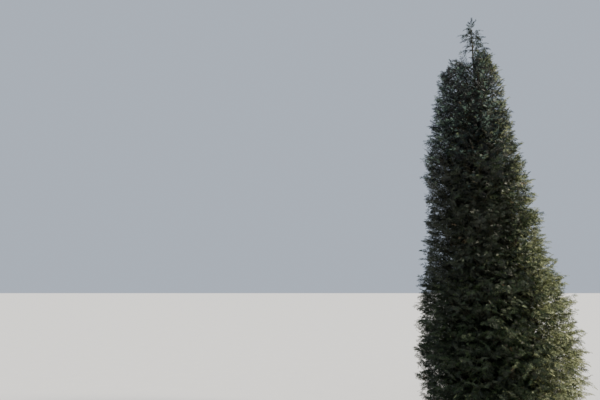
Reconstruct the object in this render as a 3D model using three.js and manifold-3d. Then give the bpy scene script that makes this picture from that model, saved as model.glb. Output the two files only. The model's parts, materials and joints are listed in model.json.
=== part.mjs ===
// Arborvitae: a young upright tree about 5.4 m tall, clothed in foliage to the ground.
// Millimetres, +Z up. The origin is the middle of the flat cut under the trunk, at ground level.
// The crown is a set of foliage masses in tiers round a whole trunk, each mass in its own space.

import * as THREE from 'three';
import { mergeVertices } from 'three/addons/utils/BufferGeometryUtils.js';
import Module from 'manifold-3d';

const wasm = await Module();
wasm.setup();

const degrees = THREE.MathUtils.degToRad;
const lerp = THREE.MathUtils.lerp;
const clamp = THREE.MathUtils.clamp;
const UP = new THREE.Vector3(0, 0, 1);

// Clearances, and how near two corners are to count as one
const JOINT_GAP = 0.3;
const CELL_MARGIN = 7;
const MERGE_DISTANCE = 0.001;

// Trunk: taper, root flare and the slight sweep of the stem
const TRUNK_TOP = 5235;
const TRUNK_RADIUS = 52;
const TRUNK_TIP_RADIUS = 5;
const TAPER_POWER = 0.9;
const FLARE_RADIUS = 22;
const FLARE_HEIGHT = 130;
const FLARE_RIDGES = 5;
const RIDGE_DEPTH = 0.16;
const RIDGE_TURN = 0.7;
const TIP_LEAN = 26;
const SWAY = 11;
const SWAY_WAVES = 2.5;
const CROSS_SWAY = 1.3;
const TRUNK_SIDES = 15;
const TRUNK_RINGS = 14;
const RING_CROWDING = 1.6;

// Crown outline: height, reach on the full side, reach on the lean side
const CROWN_OUTLINE = [
  [60, 650, 690],
  [450, 865, 915],
  [950, 900, 925],
  [1500, 845, 890],
  [2100, 770, 710],
  [2800, 695, 615],
  [3350, 725, 515],
  [3900, 600, 420],
  [4350, 490, 375],
  [4560, 445, 335],
  [4700, 345, 285],
  [4940, 190, 180],
];
const FULL_SIDE = degrees(158);

// Seams between the tiers: height at the trunk, and rise for each unit of reach
const SEAMS = [
  { height: 70, rise: 0 },
  { height: 620, rise: 0.5 },
  { height: 1420, rise: 0.6 },
  { height: 2200, rise: 0.7 },
  { height: 2950, rise: 0.8 },
  { height: 3620, rise: 0.95 },
  { height: 4590, rise: 1.3 },
];

// Tiers from the ground up: sectors, turn of the first one in degrees, radius of a bough at its root,
// and in shares of the crown's reach where the foliage starts and its core ends. Width is the core's
// share of the sector.
const TIERS = [
  { sectors: 6, turn: 38, bough: 16, inner: 0.36, core: 0.74, width: 0.96 },
  { sectors: 6, turn: 8, bough: 15, inner: 0.36, core: 0.73, width: 0.96 },
  { sectors: 5, turn: 22, bough: 13, inner: 0.34, core: 0.71, width: 0.95 },
  { sectors: 4, turn: 68, bough: 12, inner: 0.32, core: 0.69, width: 0.94 },
  { sectors: 4, turn: 23, bough: 0, inner: 0.24, core: 0.62, width: 0.86 },
  { sectors: 4, turn: 68, bough: 0, inner: 0.16, core: 0.5, width: 0.62 },
];

// The sprays of a mass in each tier: length, rise in degrees, and their grid over the mass
const TIER_SPRAYS = [
  { length: 335, rise: 28, rows: 3, columns: 4 },
  { length: 325, rise: 36, rows: 3, columns: 4 },
  { length: 310, rise: 42, rows: 3, columns: 3 },
  { length: 295, rise: 45, rows: 3, columns: 3 },
  { length: 265, rise: 50, rows: 3, columns: 3 },
  { length: 240, rise: 60, rows: 4, columns: 2 },
];

// Boughs
const BOUGH_TIP_RADIUS = 9;
const BOUGH_ROOT_LEVEL = 0.42;
const BOUGH_SAG = 0.12;
const BOUGH_SIDES = 5;
const BOUGH_RINGS = 2;

// Foliage masses
const STEM_RADIUS = 9;
const STEM_TIP_RADIUS = 5;
const STEM_SIDES = 3;
const STEM_RINGS = 2;
const STEM_LEAD_LEVEL = 0.8;
const STEM_LEAD_REACH = 0.72;
const STEM_BEND = 0.45;
const STEM_SAG = 0.1;
const TWIG_RADIUS = 4;
const TWIG_SIDES = 3;
const TWIG_RINGS = 1;
const TWIG_TIP_RADIUS = 2.5;
const TWIG_BEND = 0.3;
const FIRST_TWIG = 0.12;
const TWIG_RANGE = 0.8;

// The dense core of a mass, in shares of its cell and of the crown's reach
const CORE_SETBACK = 0.06;
const CORE_FACETS = 2;
const CORE_HEIGHT = 0.92;
const CORE_ROUNDING = 0.2;
const CORE_PILLOW = 0.28;
const CORE_ROUGHNESS = 0.05;

// Where sprays stand in their cell, and how far chance moves them
const SPRAY_SPREAD = 0.8;
const SPRAY_STAGGER = 0.12;
const SPRAY_FAN = 0.12;
const SPRAY_RISE_GAIN = 20;
const SPRAY_LOWEST = 0.1;
const SPRAY_HIGHEST = 0.93;
const CHANCE = { across: 0.1, up: 0.07, reach: 0.05, fan: 0.18, rise: 11, roll: 0.7, length: 0.1 };

// Sprays: half of the toothed outline from the tip round to the root, as degrees from the heading
// and reach from the spray's middle in shares of its length
const SPRAY_MIDDLE = 0.3;
const SPRAY_THICKNESS = 0.08;
const SPRAY_DROOP = 0.12;
const SPRAY_SINK = 0.16;
const BROAD_SPRAY = [
  [0, 0.7],
  [16, 0.4],
  [37, 0.62],
  [180, 0.3],
];
const SLIM_SPRAY = [
  [0, 0.7],
  [18, 0.3],
  [40, 0.48],
  [180, 0.3],
];

// Leader shoots: root height on the trunk, heading, length and rise
const LEADER_SHOOTS = [
  { height: 4880, heading: -22, length: 250, rise: 42 },
  { height: 4905, heading: 165, length: 175, rise: 12 },
  { height: 4960, heading: 62, length: 170, rise: 46 },
  { height: 5010, heading: -112, length: 165, rise: 44 },
  { height: 5070, heading: -14, length: 170, rise: 48 },
  { height: 5085, heading: 162, length: 185, rise: 50 },
  { height: 5170, heading: 75, length: 110, rise: 55 },
];
const SHOOT_RADIUS = 4.5;
const SHOOT_SIDES = 3;
const SHOOT_RINGS = 2;
const SHOOT_TIP_RADIUS = 1.5;
const SHOOT_SPRAY = 110;
const SHOOT_SIDE_SPRAY = 85;
const SHOOT_FORKS = [0.38, 0.68];
const SHOOT_TURN = degrees(50);
const SHOOT_ROLL = 0.5;
const SHOOT_DROOP = 0.16;
const SHOOT_ARCH = 0.55;
const LEADER_TIP_LENGTH = 155;
const LEADER_TIP_LEAN = 0.08;

// Growth rule: its seed, what a mass adds to it, warm-up draws, and rounds to settle a point in a cell
const SEED = 4021;
const SEED_PER_MASS = 97;
const SEEDS_PER_TIER = 970;
const WARM_UP_DRAWS = 3;
const CELL_PASSES = 5;

// Colours of the bark and of the lowest and highest foliage
const BARK_COLOUR = 0x6e5a48;
const LOW_FOLIAGE_COLOUR = 0x2b3a20;
const HIGH_FOLIAGE_COLOUR = 0x4a5c33;

// Gives the same run of numbers from 0 to 1 for the same seed.
function seededRandom(seed) {
  let state = seed;
  const next = () => {
    state = (state * 16807) % 2147483647;
    return state / 2147483647;
  };
  for (let warmUp = 0; warmUp < WARM_UP_DRAWS; warmUp += 1) {
    next();
  }
  return next;
}

// A number between minus and plus the amount.
function jitter(random, amount) {
  return (random() * 2 - 1) * amount;
}

// Turns a closed geometry into a solid that can be joined and cut.
function toSolid(geometry) {
  const bare = geometry.clone();
  bare.deleteAttribute('normal');
  bare.deleteAttribute('uv');
  const merged = mergeVertices(bare, MERGE_DISTANCE);
  const mesh = new wasm.Mesh({
    numProp: 3,
    vertProperties: new Float32Array(merged.getAttribute('position').array),
    triVerts: new Uint32Array(merged.getIndex().array),
  });
  return new wasm.Manifold(mesh);
}

// Turns the largest body of a solid back into geometry, without loose scraps or sealed hollows.
function toGeometry(solid) {
  const bodies = solid.decompose();
  const largest = bodies.reduce((best, body) => (body.volume() > best.volume() ? body : best));
  const mesh = largest.getMesh();
  const geometry = new THREE.BufferGeometry();
  geometry.setAttribute('position', new THREE.BufferAttribute(mesh.vertProperties, 3));
  geometry.setIndex(new THREE.BufferAttribute(mesh.triVerts, 1));
  geometry.computeVertexNormals();
  return geometry;
}

// Joins closed geometries into one solid.
function fuse(geometries) {
  return geometries.map(toSolid).reduce((whole, piece) => whole.add(piece));
}

// Bends an upright cylinder: place gives the point for a share of the length, an angle and a radius.
function bentCylinder(tipRadius, rootRadius, sides, rings, place) {
  const geometry = new THREE.CylinderGeometry(tipRadius, rootRadius, 1, sides, rings);
  const position = geometry.getAttribute('position');
  for (let index = 0; index < position.count; index += 1) {
    const along = position.getY(index) + 0.5;
    const radius = Math.hypot(position.getX(index), position.getZ(index));
    const angle = Math.atan2(position.getX(index), position.getZ(index));
    const point = place(along, angle, radius);
    position.setXYZ(index, point.x, point.y, point.z);
  }
  return geometry;
}

// A limb that tapers along a curve, with flat ends square to the curve.
function taperedLimb(curve, rootRadius, tipRadius, sides, rings) {
  return bentCylinder(tipRadius, rootRadius, sides, rings, (along, angle, radius) => {
    const tangent = curve.getTangent(along);
    const side = new THREE.Vector3().crossVectors(tangent, UP).normalize();
    const over = new THREE.Vector3().crossVectors(side, tangent);
    return curve
      .getPoint(along)
      .addScaledVector(side, radius * Math.sin(angle))
      .addScaledVector(over, radius * Math.cos(angle));
  });
}

// A flat toothed blade, thickest in its middle, which stands for one spray of scale leaves.
function sprayBlade(root, heading, normal, length, halfOutline) {
  const otherHalf = halfOutline.slice(1, -1).reverse();
  const outline = [...halfOutline, ...otherHalf.map(([angle, reach]) => [-angle, reach])];
  const geometry = new THREE.SphereGeometry(1, outline.length, 2);
  const position = geometry.getAttribute('position');
  const side = new THREE.Vector3().crossVectors(normal, heading);
  const middle = root.clone().addScaledVector(heading, SPRAY_MIDDLE * length);
  for (let index = 0; index < position.count; index += 1) {
    const face = Math.round(position.getY(index));
    const turn = Math.atan2(position.getZ(index), -position.getX(index)) / (2 * Math.PI);
    const corner = (Math.round(turn * outline.length) + outline.length) % outline.length;
    const angle = degrees(outline[corner][0]);
    const reach = face === 0 ? outline[corner][1] : 0;
    const height = (face * SPRAY_THICKNESS) / 2 - SPRAY_DROOP * reach * reach;
    const point = middle
      .clone()
      .addScaledVector(heading, length * reach * Math.cos(angle))
      .addScaledVector(side, length * reach * Math.sin(angle))
      .addScaledVector(normal, length * height);
    position.setXYZ(index, point.x, point.y, point.z);
  }
  return geometry;
}

// The middle of the trunk at a height, with its sweep and lean.
function trunkCentre(height) {
  const share = height / TRUNK_TOP;
  const wave = SWAY_WAVES * Math.PI * share;
  const x = TIP_LEAN * share * share + SWAY * Math.sin(wave) * (1 - share);
  const y = SWAY * Math.sin(wave * CROSS_SWAY) * (1 - share);
  return new THREE.Vector3(x, y, height);
}

// The trunk's radius at a height and heading, with ridges in the root flare.
function trunkRadius(height, azimuth) {
  const share = clamp(height / TRUNK_TOP, 0, 1);
  const taper = TRUNK_TIP_RADIUS + TRUNK_RADIUS * (1 - share) ** TAPER_POWER;
  const flare = Math.exp(-height / FLARE_HEIGHT);
  const ridge = 1 + RIDGE_DEPTH * flare * Math.cos(FLARE_RIDGES * azimuth + RIDGE_TURN);
  return (taper + FLARE_RADIUS * flare) * ridge;
}

// The trunk, or with a clearance, the room that it takes from a limb.
function trunkGeometry(clearance) {
  return bentCylinder(1, 1, TRUNK_SIDES, TRUNK_RINGS, (along, angle, unit) => {
    const azimuth = angle - Math.PI / 2;
    const height = TRUNK_TOP * along ** RING_CROWDING;
    const radius = unit * (trunkRadius(height, azimuth) + clearance);
    const rim = new THREE.Vector3(radius * Math.cos(azimuth), radius * Math.sin(azimuth), 0);
    return trunkCentre(height).add(rim);
  });
}

const trunkRoom = toSolid(trunkGeometry(JOINT_GAP));

// The crown's reach from the upright axis, in a direction and at a height.
function crownReach(azimuth, height) {
  const last = CROWN_OUTLINE.length - 1;
  const found = CROWN_OUTLINE.findIndex((row) => row[0] >= height);
  const upper = found < 0 ? last : Math.max(found, 1);
  const [lowHeight, lowFull, lowLean] = CROWN_OUTLINE[upper - 1];
  const [highHeight, highFull, highLean] = CROWN_OUTLINE[upper];
  const share = clamp((height - lowHeight) / (highHeight - lowHeight), 0, 1);
  const full = lerp(lowFull, highFull, share);
  const lean = lerp(lowLean, highLean, share);
  return (full + lean) / 2 + ((full - lean) / 2) * Math.cos(azimuth - FULL_SIDE);
}

function seamHeight(seam, reach) {
  return seam.height + seam.rise * reach;
}

// The space of one mass: a sector of the crown between two seams.
function makeCell(level, sector) {
  const tier = TIERS[level];
  const halfWidth = Math.PI / tier.sectors;
  return {
    tier,
    sprays: TIER_SPRAYS[level],
    halfWidth,
    azimuth: degrees(tier.turn) + 2 * halfWidth * sector,
    lower: SEAMS[level],
    upper: SEAMS[level + 1],
  };
}

// A point in a cell: across the sector from -1 to 1, up between the seams from 0 to 1,
// and out to a fraction of the crown's reach.
function cellPoint(cell, across, up, reach) {
  const azimuth = cell.azimuth + across * cell.halfWidth;
  let radius = 0;
  let height = cell.lower.height;
  for (let pass = 0; pass < CELL_PASSES; pass += 1) {
    height = lerp(seamHeight(cell.lower, radius), seamHeight(cell.upper, radius), up);
    radius = reach * crownReach(azimuth, height);
  }
  return new THREE.Vector3(radius * Math.cos(azimuth), radius * Math.sin(azimuth), height);
}

// Whether a convex piece keeps to its cell. Both sides, the lower seam and the plane that touches
// the upper seam along the piece's own heading bound a convex space, so its corners are enough.
function fitsCell(cell, geometry, innermost) {
  const position = geometry.getAttribute('position');
  const middle = new THREE.Vector3();
  const point = new THREE.Vector3();
  for (let index = 0; index < position.count; index += 1) {
    middle.add(point.fromBufferAttribute(position, index));
  }
  const heading = new THREE.Vector3(middle.x, middle.y, 0).normalize();
  const forward = new THREE.Vector3(Math.cos(cell.azimuth), Math.sin(cell.azimuth), 0);
  const sideways = new THREE.Vector3(-forward.y, forward.x, 0);
  for (let index = 0; index < position.count; index += 1) {
    point.fromBufferAttribute(position, index);
    const out = point.dot(forward);
    const room = out * Math.sin(cell.halfWidth) - Math.abs(point.dot(sideways)) * Math.cos(cell.halfWidth);
    const floor = seamHeight(cell.lower, Math.hypot(point.x, point.y));
    const ceiling = seamHeight(cell.upper, point.dot(heading));
    const inside = room > CELL_MARGIN && point.z > floor + CELL_MARGIN && point.z < ceiling - CELL_MARGIN;
    if (!inside || out < innermost) {
      return false;
    }
  }
  return true;
}

// The bough's curve, from the middle of the trunk to the place where its mass begins.
function boughCurve(cell) {
  const end = cellPoint(cell, 0, 0.5, cell.tier.inner);
  const root = trunkCentre(lerp(cell.lower.height, cell.upper.height, BOUGH_ROOT_LEVEL));
  const elbow = root.clone().lerp(end, 0.5);
  elbow.z -= BOUGH_SAG * root.distanceTo(end);
  return new THREE.QuadraticBezierCurve3(root, elbow, end);
}

// The curve of a mass's stem, from its bough's tip or the middle of the trunk out to its lead.
function stemCurve(cell) {
  const lead = cellPoint(cell, 0, STEM_LEAD_LEVEL, STEM_LEAD_REACH);
  const bough = boughCurve(cell);
  if (cell.tier.bough > 0) {
    const start = bough.getPoint(1).addScaledVector(bough.getTangent(1), JOINT_GAP);
    const bend = start.clone().addScaledVector(bough.getTangent(1), STEM_BEND * start.distanceTo(lead));
    return new THREE.QuadraticBezierCurve3(start, bend, lead);
  }
  const root = bough.getPoint(0);
  const bend = root.clone().lerp(lead, 0.5);
  bend.z -= STEM_SAG * root.distanceTo(lead);
  return new THREE.QuadraticBezierCurve3(root, bend, lead);
}

// The dense middle of a mass: a pillow pressed into the cell's shape, with an uneven skin.
function coreGeometry(cell, random) {
  const box = new THREE.BoxGeometry(2, 2, 2, CORE_FACETS, 1, CORE_FACETS);
  box.deleteAttribute('normal');
  box.deleteAttribute('uv');
  const geometry = mergeVertices(box, MERGE_DISTANCE);
  const position = geometry.getAttribute('position');
  for (let index = 0; index < position.count; index += 1) {
    const [x, y, z] = [position.getX(index), position.getY(index), position.getZ(index)];
    const corner = 1 - CORE_ROUNDING * x * x * z * z;
    const edge = Math.max(Math.abs(x), Math.abs(z)) ** 2;
    const across = -x * corner * cell.tier.width;
    const up = 0.5 + 0.5 * z * corner * CORE_HEIGHT;
    const depth = 0.5 + 0.5 * y * (1 - CORE_PILLOW * edge) + jitter(random, CORE_ROUGHNESS);
    const point = cellPoint(cell, across, up, lerp(cell.tier.inner + CORE_SETBACK, cell.tier.core, depth));
    position.setXYZ(index, point.x, point.y, point.z);
  }
  return geometry;
}

// The sprays of a mass: a grid over the crown's surface in its cell, each place moved a little.
function sprayPlaces(cell, random) {
  const { rows, columns } = cell.sprays;
  const places = [];
  for (let row = 0; row < rows; row += 1) {
    for (let column = 0; column < columns; column += 1) {
      const stagger = row % 2 === 0 ? SPRAY_STAGGER : -SPRAY_STAGGER;
      const place = (2 * column + 1) / columns - 1 + stagger + jitter(random, CHANCE.across);
      const across = place * SPRAY_SPREAD;
      const level = (row + 0.5) / rows + jitter(random, CHANCE.up);
      const up = clamp(level, SPRAY_LOWEST, SPRAY_HIGHEST);
      const tip = cellPoint(cell, across, up, 1 - CHANCE.reach * random());
      const azimuth = Math.atan2(tip.y, tip.x) + SPRAY_FAN * across + jitter(random, CHANCE.fan);
      const rise = degrees(cell.sprays.rise + SPRAY_RISE_GAIN * (up - 0.5) + jitter(random, CHANCE.rise));
      const heading = new THREE.Vector3(
        Math.cos(azimuth) * Math.cos(rise),
        Math.sin(azimuth) * Math.cos(rise),
        Math.sin(rise),
      );
      const length = cell.sprays.length * (1 + jitter(random, CHANCE.length));
      places.push({ tip, heading, length, up, roll: jitter(random, CHANCE.roll) });
    }
  }
  return places;
}

// The upper side of a flat spray that points along a heading, rolled about it.
function sprayNormal(heading, roll) {
  const side = new THREE.Vector3().crossVectors(heading, UP).normalize();
  return new THREE.Vector3().crossVectors(side, heading).applyAxisAngle(heading, roll);
}

// A foliage mass: one stem, a dense core, and twigs that each end in a spray.
function massGeometry(level, sector) {
  const cell = makeCell(level, sector);
  const random = seededRandom(SEED + SEEDS_PER_TIER * level + SEED_PER_MASS * sector);
  const stem = stemCurve(cell);
  const innermost = cell.tier.inner * crownReach(cell.azimuth, stem.getPoint(0).z);
  const limb = taperedLimb(stem, STEM_RADIUS, STEM_TIP_RADIUS, STEM_SIDES, STEM_RINGS);
  const pieces = [limb, coreGeometry(cell, random)];
  for (const { tip, heading, length, up, roll } of sprayPlaces(cell, random)) {
    const root = tip.clone().addScaledVector(heading, -length);
    const fork = stem.getPoint(FIRST_TWIG + TWIG_RANGE * up);
    const elbow = root.clone().addScaledVector(heading, -TWIG_BEND * root.distanceTo(fork));
    const end = root.clone().addScaledVector(heading, length * SPRAY_SINK);
    const path = new THREE.QuadraticBezierCurve3(fork, elbow, end);
    const twig = taperedLimb(path, TWIG_RADIUS, TWIG_TIP_RADIUS, TWIG_SIDES, TWIG_RINGS);
    const spray = sprayBlade(root, heading, sprayNormal(heading, roll), length, BROAD_SPRAY);
    if (fitsCell(cell, spray, innermost) && fitsCell(cell, twig, 0)) {
      pieces.push(twig, spray);
    }
  }
  return toGeometry(fuse(pieces).subtract(trunkRoom));
}

// Small sprays on alternate sides of a shoot, and one at its end.
function shootSprays(curve) {
  const pieces = [];
  SHOOT_FORKS.forEach((along, order) => {
    const heading = curve.getTangent(along);
    const normal = sprayNormal(heading, SHOOT_ROLL);
    const out = heading.clone().applyAxisAngle(normal, order % 2 === 0 ? SHOOT_TURN : -SHOOT_TURN);
    const root = curve.getPoint(along);
    pieces.push(sprayBlade(root, out, normal, SHOOT_SIDE_SPRAY, SLIM_SPRAY));
  });
  const end = curve.getTangent(1);
  const root = curve.getPoint(1).addScaledVector(end, -SPRAY_SINK * SHOOT_SPRAY);
  pieces.push(sprayBlade(root, end, sprayNormal(end, SHOOT_ROLL), SHOOT_SPRAY, SLIM_SPRAY));
  return pieces;
}

// A sparse side shoot of the leader, which arches out from the trunk.
function shootGeometry(shoot) {
  const root = trunkCentre(shoot.height);
  const azimuth = degrees(shoot.heading);
  const rise = degrees(shoot.rise);
  const out = new THREE.Vector3(Math.cos(azimuth), Math.sin(azimuth), 0);
  const stretch = shoot.length - (1 - SPRAY_SINK) * SHOOT_SPRAY;
  const end = root
    .clone()
    .addScaledVector(out, stretch * Math.cos(rise))
    .addScaledVector(UP, stretch * (Math.sin(rise) - SHOOT_DROOP));
  const arch = root
    .clone()
    .addScaledVector(out, 0.5 * stretch * Math.cos(rise))
    .addScaledVector(UP, SHOOT_ARCH * stretch * Math.sin(rise));
  const curve = new THREE.QuadraticBezierCurve3(root, arch, end);
  const stem = taperedLimb(curve, SHOOT_RADIUS, SHOOT_TIP_RADIUS, SHOOT_SIDES, SHOOT_RINGS);
  const pieces = [stem, ...shootSprays(curve)];
  return toGeometry(fuse(pieces).subtract(trunkRoom));
}

// The end of the leader, which carries on from the trunk's top.
function leaderTipGeometry() {
  const foot = trunkCentre(TRUNK_TOP).addScaledVector(UP, JOINT_GAP);
  const length = LEADER_TIP_LENGTH - (1 - SPRAY_SINK) * SHOOT_SPRAY;
  const middle = foot.clone().addScaledVector(UP, 0.5 * length);
  const top = foot.clone().add(new THREE.Vector3(LEADER_TIP_LEAN * length, 0, length));
  const curve = new THREE.QuadraticBezierCurve3(foot, middle, top);
  const place = (along, angle, radius) => {
    const rim = new THREE.Vector3(radius * Math.sin(angle), -radius * Math.cos(angle), 0);
    return curve.getPoint(along).add(rim);
  };
  const stem = bentCylinder(SHOOT_TIP_RADIUS, TRUNK_TIP_RADIUS, SHOOT_SIDES, SHOOT_RINGS, place);
  return toGeometry(fuse([stem, ...shootSprays(curve)]));
}

// Finishes
function barkFinish() {
  return new THREE.MeshStandardMaterial({ color: BARK_COLOUR, roughness: 0.95, metalness: 0 });
}

function foliageFinish(level) {
  const high = new THREE.Color(HIGH_FOLIAGE_COLOUR);
  const shade = new THREE.Color(LOW_FOLIAGE_COLOUR).lerp(high, level / TIERS.length);
  return new THREE.MeshStandardMaterial({ color: shade, roughness: 0.8, metalness: 0 });
}

function namedMesh(name, geometry, material) {
  const mesh = new THREE.Mesh(geometry, material);
  mesh.name = name;
  return mesh;
}

// The tree
const limbs = new THREE.Group();
const crown = new THREE.Group();
const leader = new THREE.Group();

limbs.add(namedMesh('trunk', trunkGeometry(0), barkFinish()));

TIERS.forEach((tier, level) => {
  for (let sector = 0; sector < tier.sectors; sector += 1) {
    const label = `${level + 1}_${sector + 1}`;
    if (tier.bough > 0) {
      const curve = boughCurve(makeCell(level, sector));
      const limb = taperedLimb(curve, tier.bough, BOUGH_TIP_RADIUS, BOUGH_SIDES, BOUGH_RINGS);
      const bough = toGeometry(toSolid(limb).subtract(trunkRoom));
      limbs.add(namedMesh(`bough_${label}`, bough, barkFinish()));
    }
    crown.add(namedMesh(`foliage_${label}`, massGeometry(level, sector), foliageFinish(level)));
  }
});

LEADER_SHOOTS.forEach((shoot, index) => {
  const name = `leader_shoot_${index + 1}`;
  leader.add(namedMesh(name, shootGeometry(shoot), foliageFinish(TIERS.length)));
});
leader.add(namedMesh('leader_tip', leaderTipGeometry(), foliageFinish(TIERS.length)));

const arborvitae = new THREE.Group();
arborvitae.add(limbs, crown, leader);

export default arborvitae;
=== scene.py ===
"""Arborvitae: a young upright tree with bark, boughs, twigs and flat fern-like sprays of scale leaves.

The growth rule is the one that made the solids, carried on to finer twigs. It works in millimetres,
and only the finished meshes are in metres.
"""

import json
import math

import bpy
import numpy as np
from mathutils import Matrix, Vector, noise

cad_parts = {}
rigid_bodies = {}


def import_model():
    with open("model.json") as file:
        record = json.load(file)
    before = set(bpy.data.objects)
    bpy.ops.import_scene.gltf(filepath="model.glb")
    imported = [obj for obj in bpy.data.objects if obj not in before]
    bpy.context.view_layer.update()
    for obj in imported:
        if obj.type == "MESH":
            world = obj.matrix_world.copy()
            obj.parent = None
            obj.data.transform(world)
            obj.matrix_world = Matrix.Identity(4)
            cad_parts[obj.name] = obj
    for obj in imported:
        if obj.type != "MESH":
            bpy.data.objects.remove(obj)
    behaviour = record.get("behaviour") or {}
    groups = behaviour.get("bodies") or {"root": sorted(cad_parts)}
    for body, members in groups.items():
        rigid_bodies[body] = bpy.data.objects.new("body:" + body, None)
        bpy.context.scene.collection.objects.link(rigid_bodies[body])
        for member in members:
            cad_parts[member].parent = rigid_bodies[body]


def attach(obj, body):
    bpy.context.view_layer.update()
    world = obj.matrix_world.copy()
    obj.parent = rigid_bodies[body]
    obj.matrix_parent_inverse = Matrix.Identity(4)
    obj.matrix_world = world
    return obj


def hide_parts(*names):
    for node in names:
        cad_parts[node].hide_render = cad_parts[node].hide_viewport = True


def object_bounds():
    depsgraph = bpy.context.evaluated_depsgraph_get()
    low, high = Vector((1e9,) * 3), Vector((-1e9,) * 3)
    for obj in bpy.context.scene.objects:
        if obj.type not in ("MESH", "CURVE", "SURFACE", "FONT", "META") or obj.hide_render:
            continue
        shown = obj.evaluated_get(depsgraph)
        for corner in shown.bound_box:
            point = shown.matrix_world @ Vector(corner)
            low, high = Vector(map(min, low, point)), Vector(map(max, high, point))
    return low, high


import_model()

bl_info = {
    "name": "Arborvitae",
    "version": (1, 0, 0),
    "blender": (4, 5, 0),
    "location": "3D View > Sidebar > Arborvitae",
    "description": "Grows bark, boughs, twigs and sprays on the solids of an upright arborvitae",
    "category": "Add Mesh",
}

CAD_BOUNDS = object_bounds()
METRES = 0.001
UP = np.array((0.0, 0.0, 1.0))

# A direction whose level part is shorter than this counts as upright
LEAST_SIDE = 1e-6

# Trunk of the solids: taper, root flare, lean and sweep
TRUNK_TOP = 5235
TRUNK_RADIUS = 52
TRUNK_TIP_RADIUS = 5
TAPER_POWER = 0.9
FLARE_RADIUS = 22
FLARE_HEIGHT = 130
FLARE_RIDGES = 5
RIDGE_DEPTH = 0.16
RIDGE_TURN = 0.7
TIP_LEAN = 26
SWAY = 11
SWAY_WAVES = 2.5
CROSS_SWAY = 1.3

# Crown outline: height, reach on the full side, reach on the lean side
CROWN_OUTLINE = np.array((
    (60, 650, 690),
    (450, 865, 915),
    (950, 900, 925),
    (1500, 845, 890),
    (2100, 770, 710),
    (2800, 695, 615),
    (3350, 725, 515),
    (3900, 600, 420),
    (4350, 490, 375),
    (4560, 445, 335),
    (4700, 345, 285),
    (4940, 190, 180),
), float)
FULL_SIDE = math.radians(158)

# Seams between the tiers: height at the trunk, and rise for each unit of reach
SEAMS = (
    (70, 0), (620, 0.5), (1420, 0.6), (2200, 0.7), (2950, 0.8), (3620, 0.95), (4590, 1.3),
)

# Tiers from the ground up: sectors, turn in degrees, bough radius, where foliage starts in shares of
# the reach, and the length, rise and grid of the places where the solids' sprays stand
TIERS = (
    dict(sectors=6, turn=38, bough=16, inner=0.36, length=335, rise=28, rows=3, columns=4),
    dict(sectors=6, turn=8, bough=15, inner=0.36, length=325, rise=36, rows=3, columns=4),
    dict(sectors=5, turn=22, bough=13, inner=0.34, length=310, rise=42, rows=3, columns=3),
    dict(sectors=4, turn=68, bough=12, inner=0.32, length=295, rise=45, rows=3, columns=3),
    dict(sectors=4, turn=23, bough=0, inner=0.24, length=265, rise=50, rows=3, columns=3),
    dict(sectors=4, turn=68, bough=0, inner=0.16, length=240, rise=60, rows=4, columns=2),
)
TOP_TIER = len(TIERS) - 1

# Boughs, stems and twigs of the solids
JOINT_GAP = 0.3
BOUGH_TIP_RADIUS = 9
BOUGH_ROOT_LEVEL = 0.42
BOUGH_SAG = 0.12
STEM_RADIUS = 9
STEM_TIP_RADIUS = 5
STEM_LEAD_LEVEL = 0.8
STEM_LEAD_REACH = 0.72
STEM_BEND = 0.45
STEM_SAG = 0.1
TWIG_RADIUS = 4
TWIG_BEND = 0.3
FIRST_TWIG = 0.12
TWIG_RANGE = 0.8

# Where the solids' sprays stand in their cell, and how far chance moves them
SPRAY_SPREAD = 0.8
SPRAY_STAGGER = 0.12
SPRAY_FAN = 0.12
SPRAY_RISE_GAIN = 20
SPRAY_LOWEST = 0.1
SPRAY_HIGHEST = 0.93
SPRAY_SINK = 0.16
CHANCE = dict(across=0.1, up=0.07, reach=0.05, fan=0.18, rise=11, roll=0.7, length=0.1)

# Leader shoots: root height on the trunk, heading, length and rise
LEADER_SHOOTS = (
    (4880, -22, 250, 42), (4905, 165, 175, 12), (4960, 62, 170, 46), (5010, -112, 165, 44),
    (5070, -14, 170, 48), (5085, 162, 185, 50), (5170, 75, 110, 55),
)
SHOOT_SPRAY = 110
SHOOT_RADIUS = 4.5
SHOOT_TIP_RADIUS = 1.5
SHOOT_DROOP = 0.16
SHOOT_ARCH = 0.55
LEADER_TIP_LENGTH = 155
LEADER_TIP_LEAN = 0.08

# Smaller shoots that the solids leave out, in the same terms: those of the crest, where the crown parts
# round the leader, and those of the leader itself
CREST_SHOOTS = (
    (4480, -35, 470, 55), (4500, 10, 440, 58), (4400, 60, 420, 55), (4410, 140, 460, 47),
    (4400, 165, 500, 48), (4420, 190, 450, 48), (4440, 156, 430, 51), (4450, -90, 400, 56),
    (4560, -10, 400, 60), (4650, 20, 330, 64), (4600, -78, 340, 64), (4640, -28, 330, 62),
    (4500, -50, 400, 68), (4540, -5, 370, 70), (4580, 45, 360, 66), (3950, 158, 700, 41),
    (3900, 143, 690, 40), (3980, 173, 670, 42), (4050, 160, 640, 44), (4520, 150, 470, 57),
    (4500, 168, 480, 55),
)
SMALL_SHOOTS = (
    (4790, 50, 210, 50), (4800, -65, 210, 50), (4850, -20, 255, 26), (4870, 40, 230, 42),
    (4885, 158, 95, 20), (4900, -80, 200, 44), (4945, 15, 220, 40), (4950, 172, 145, 28),
    (4985, -45, 200, 38), (5000, -25, 225, 38), (5040, 150, 180, 32), (5040, 80, 170, 42),
    (5050, -20, 90, 35), (5085, 160, 240, 36), (5100, -110, 150, 42), (5150, -150, 110, 46),
    (5130, -15, 190, 40), (5225, 158, 115, 36), (5235, -40, 80, 55),
)
SMALL_SPRAY = 95
FIRST_LEADER_SPRAY = 0.6
FIRST_CREST_SPRAY = 0.35
SHOOT_ROLL = 0.4
TIP_ROLL = -0.55

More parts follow.
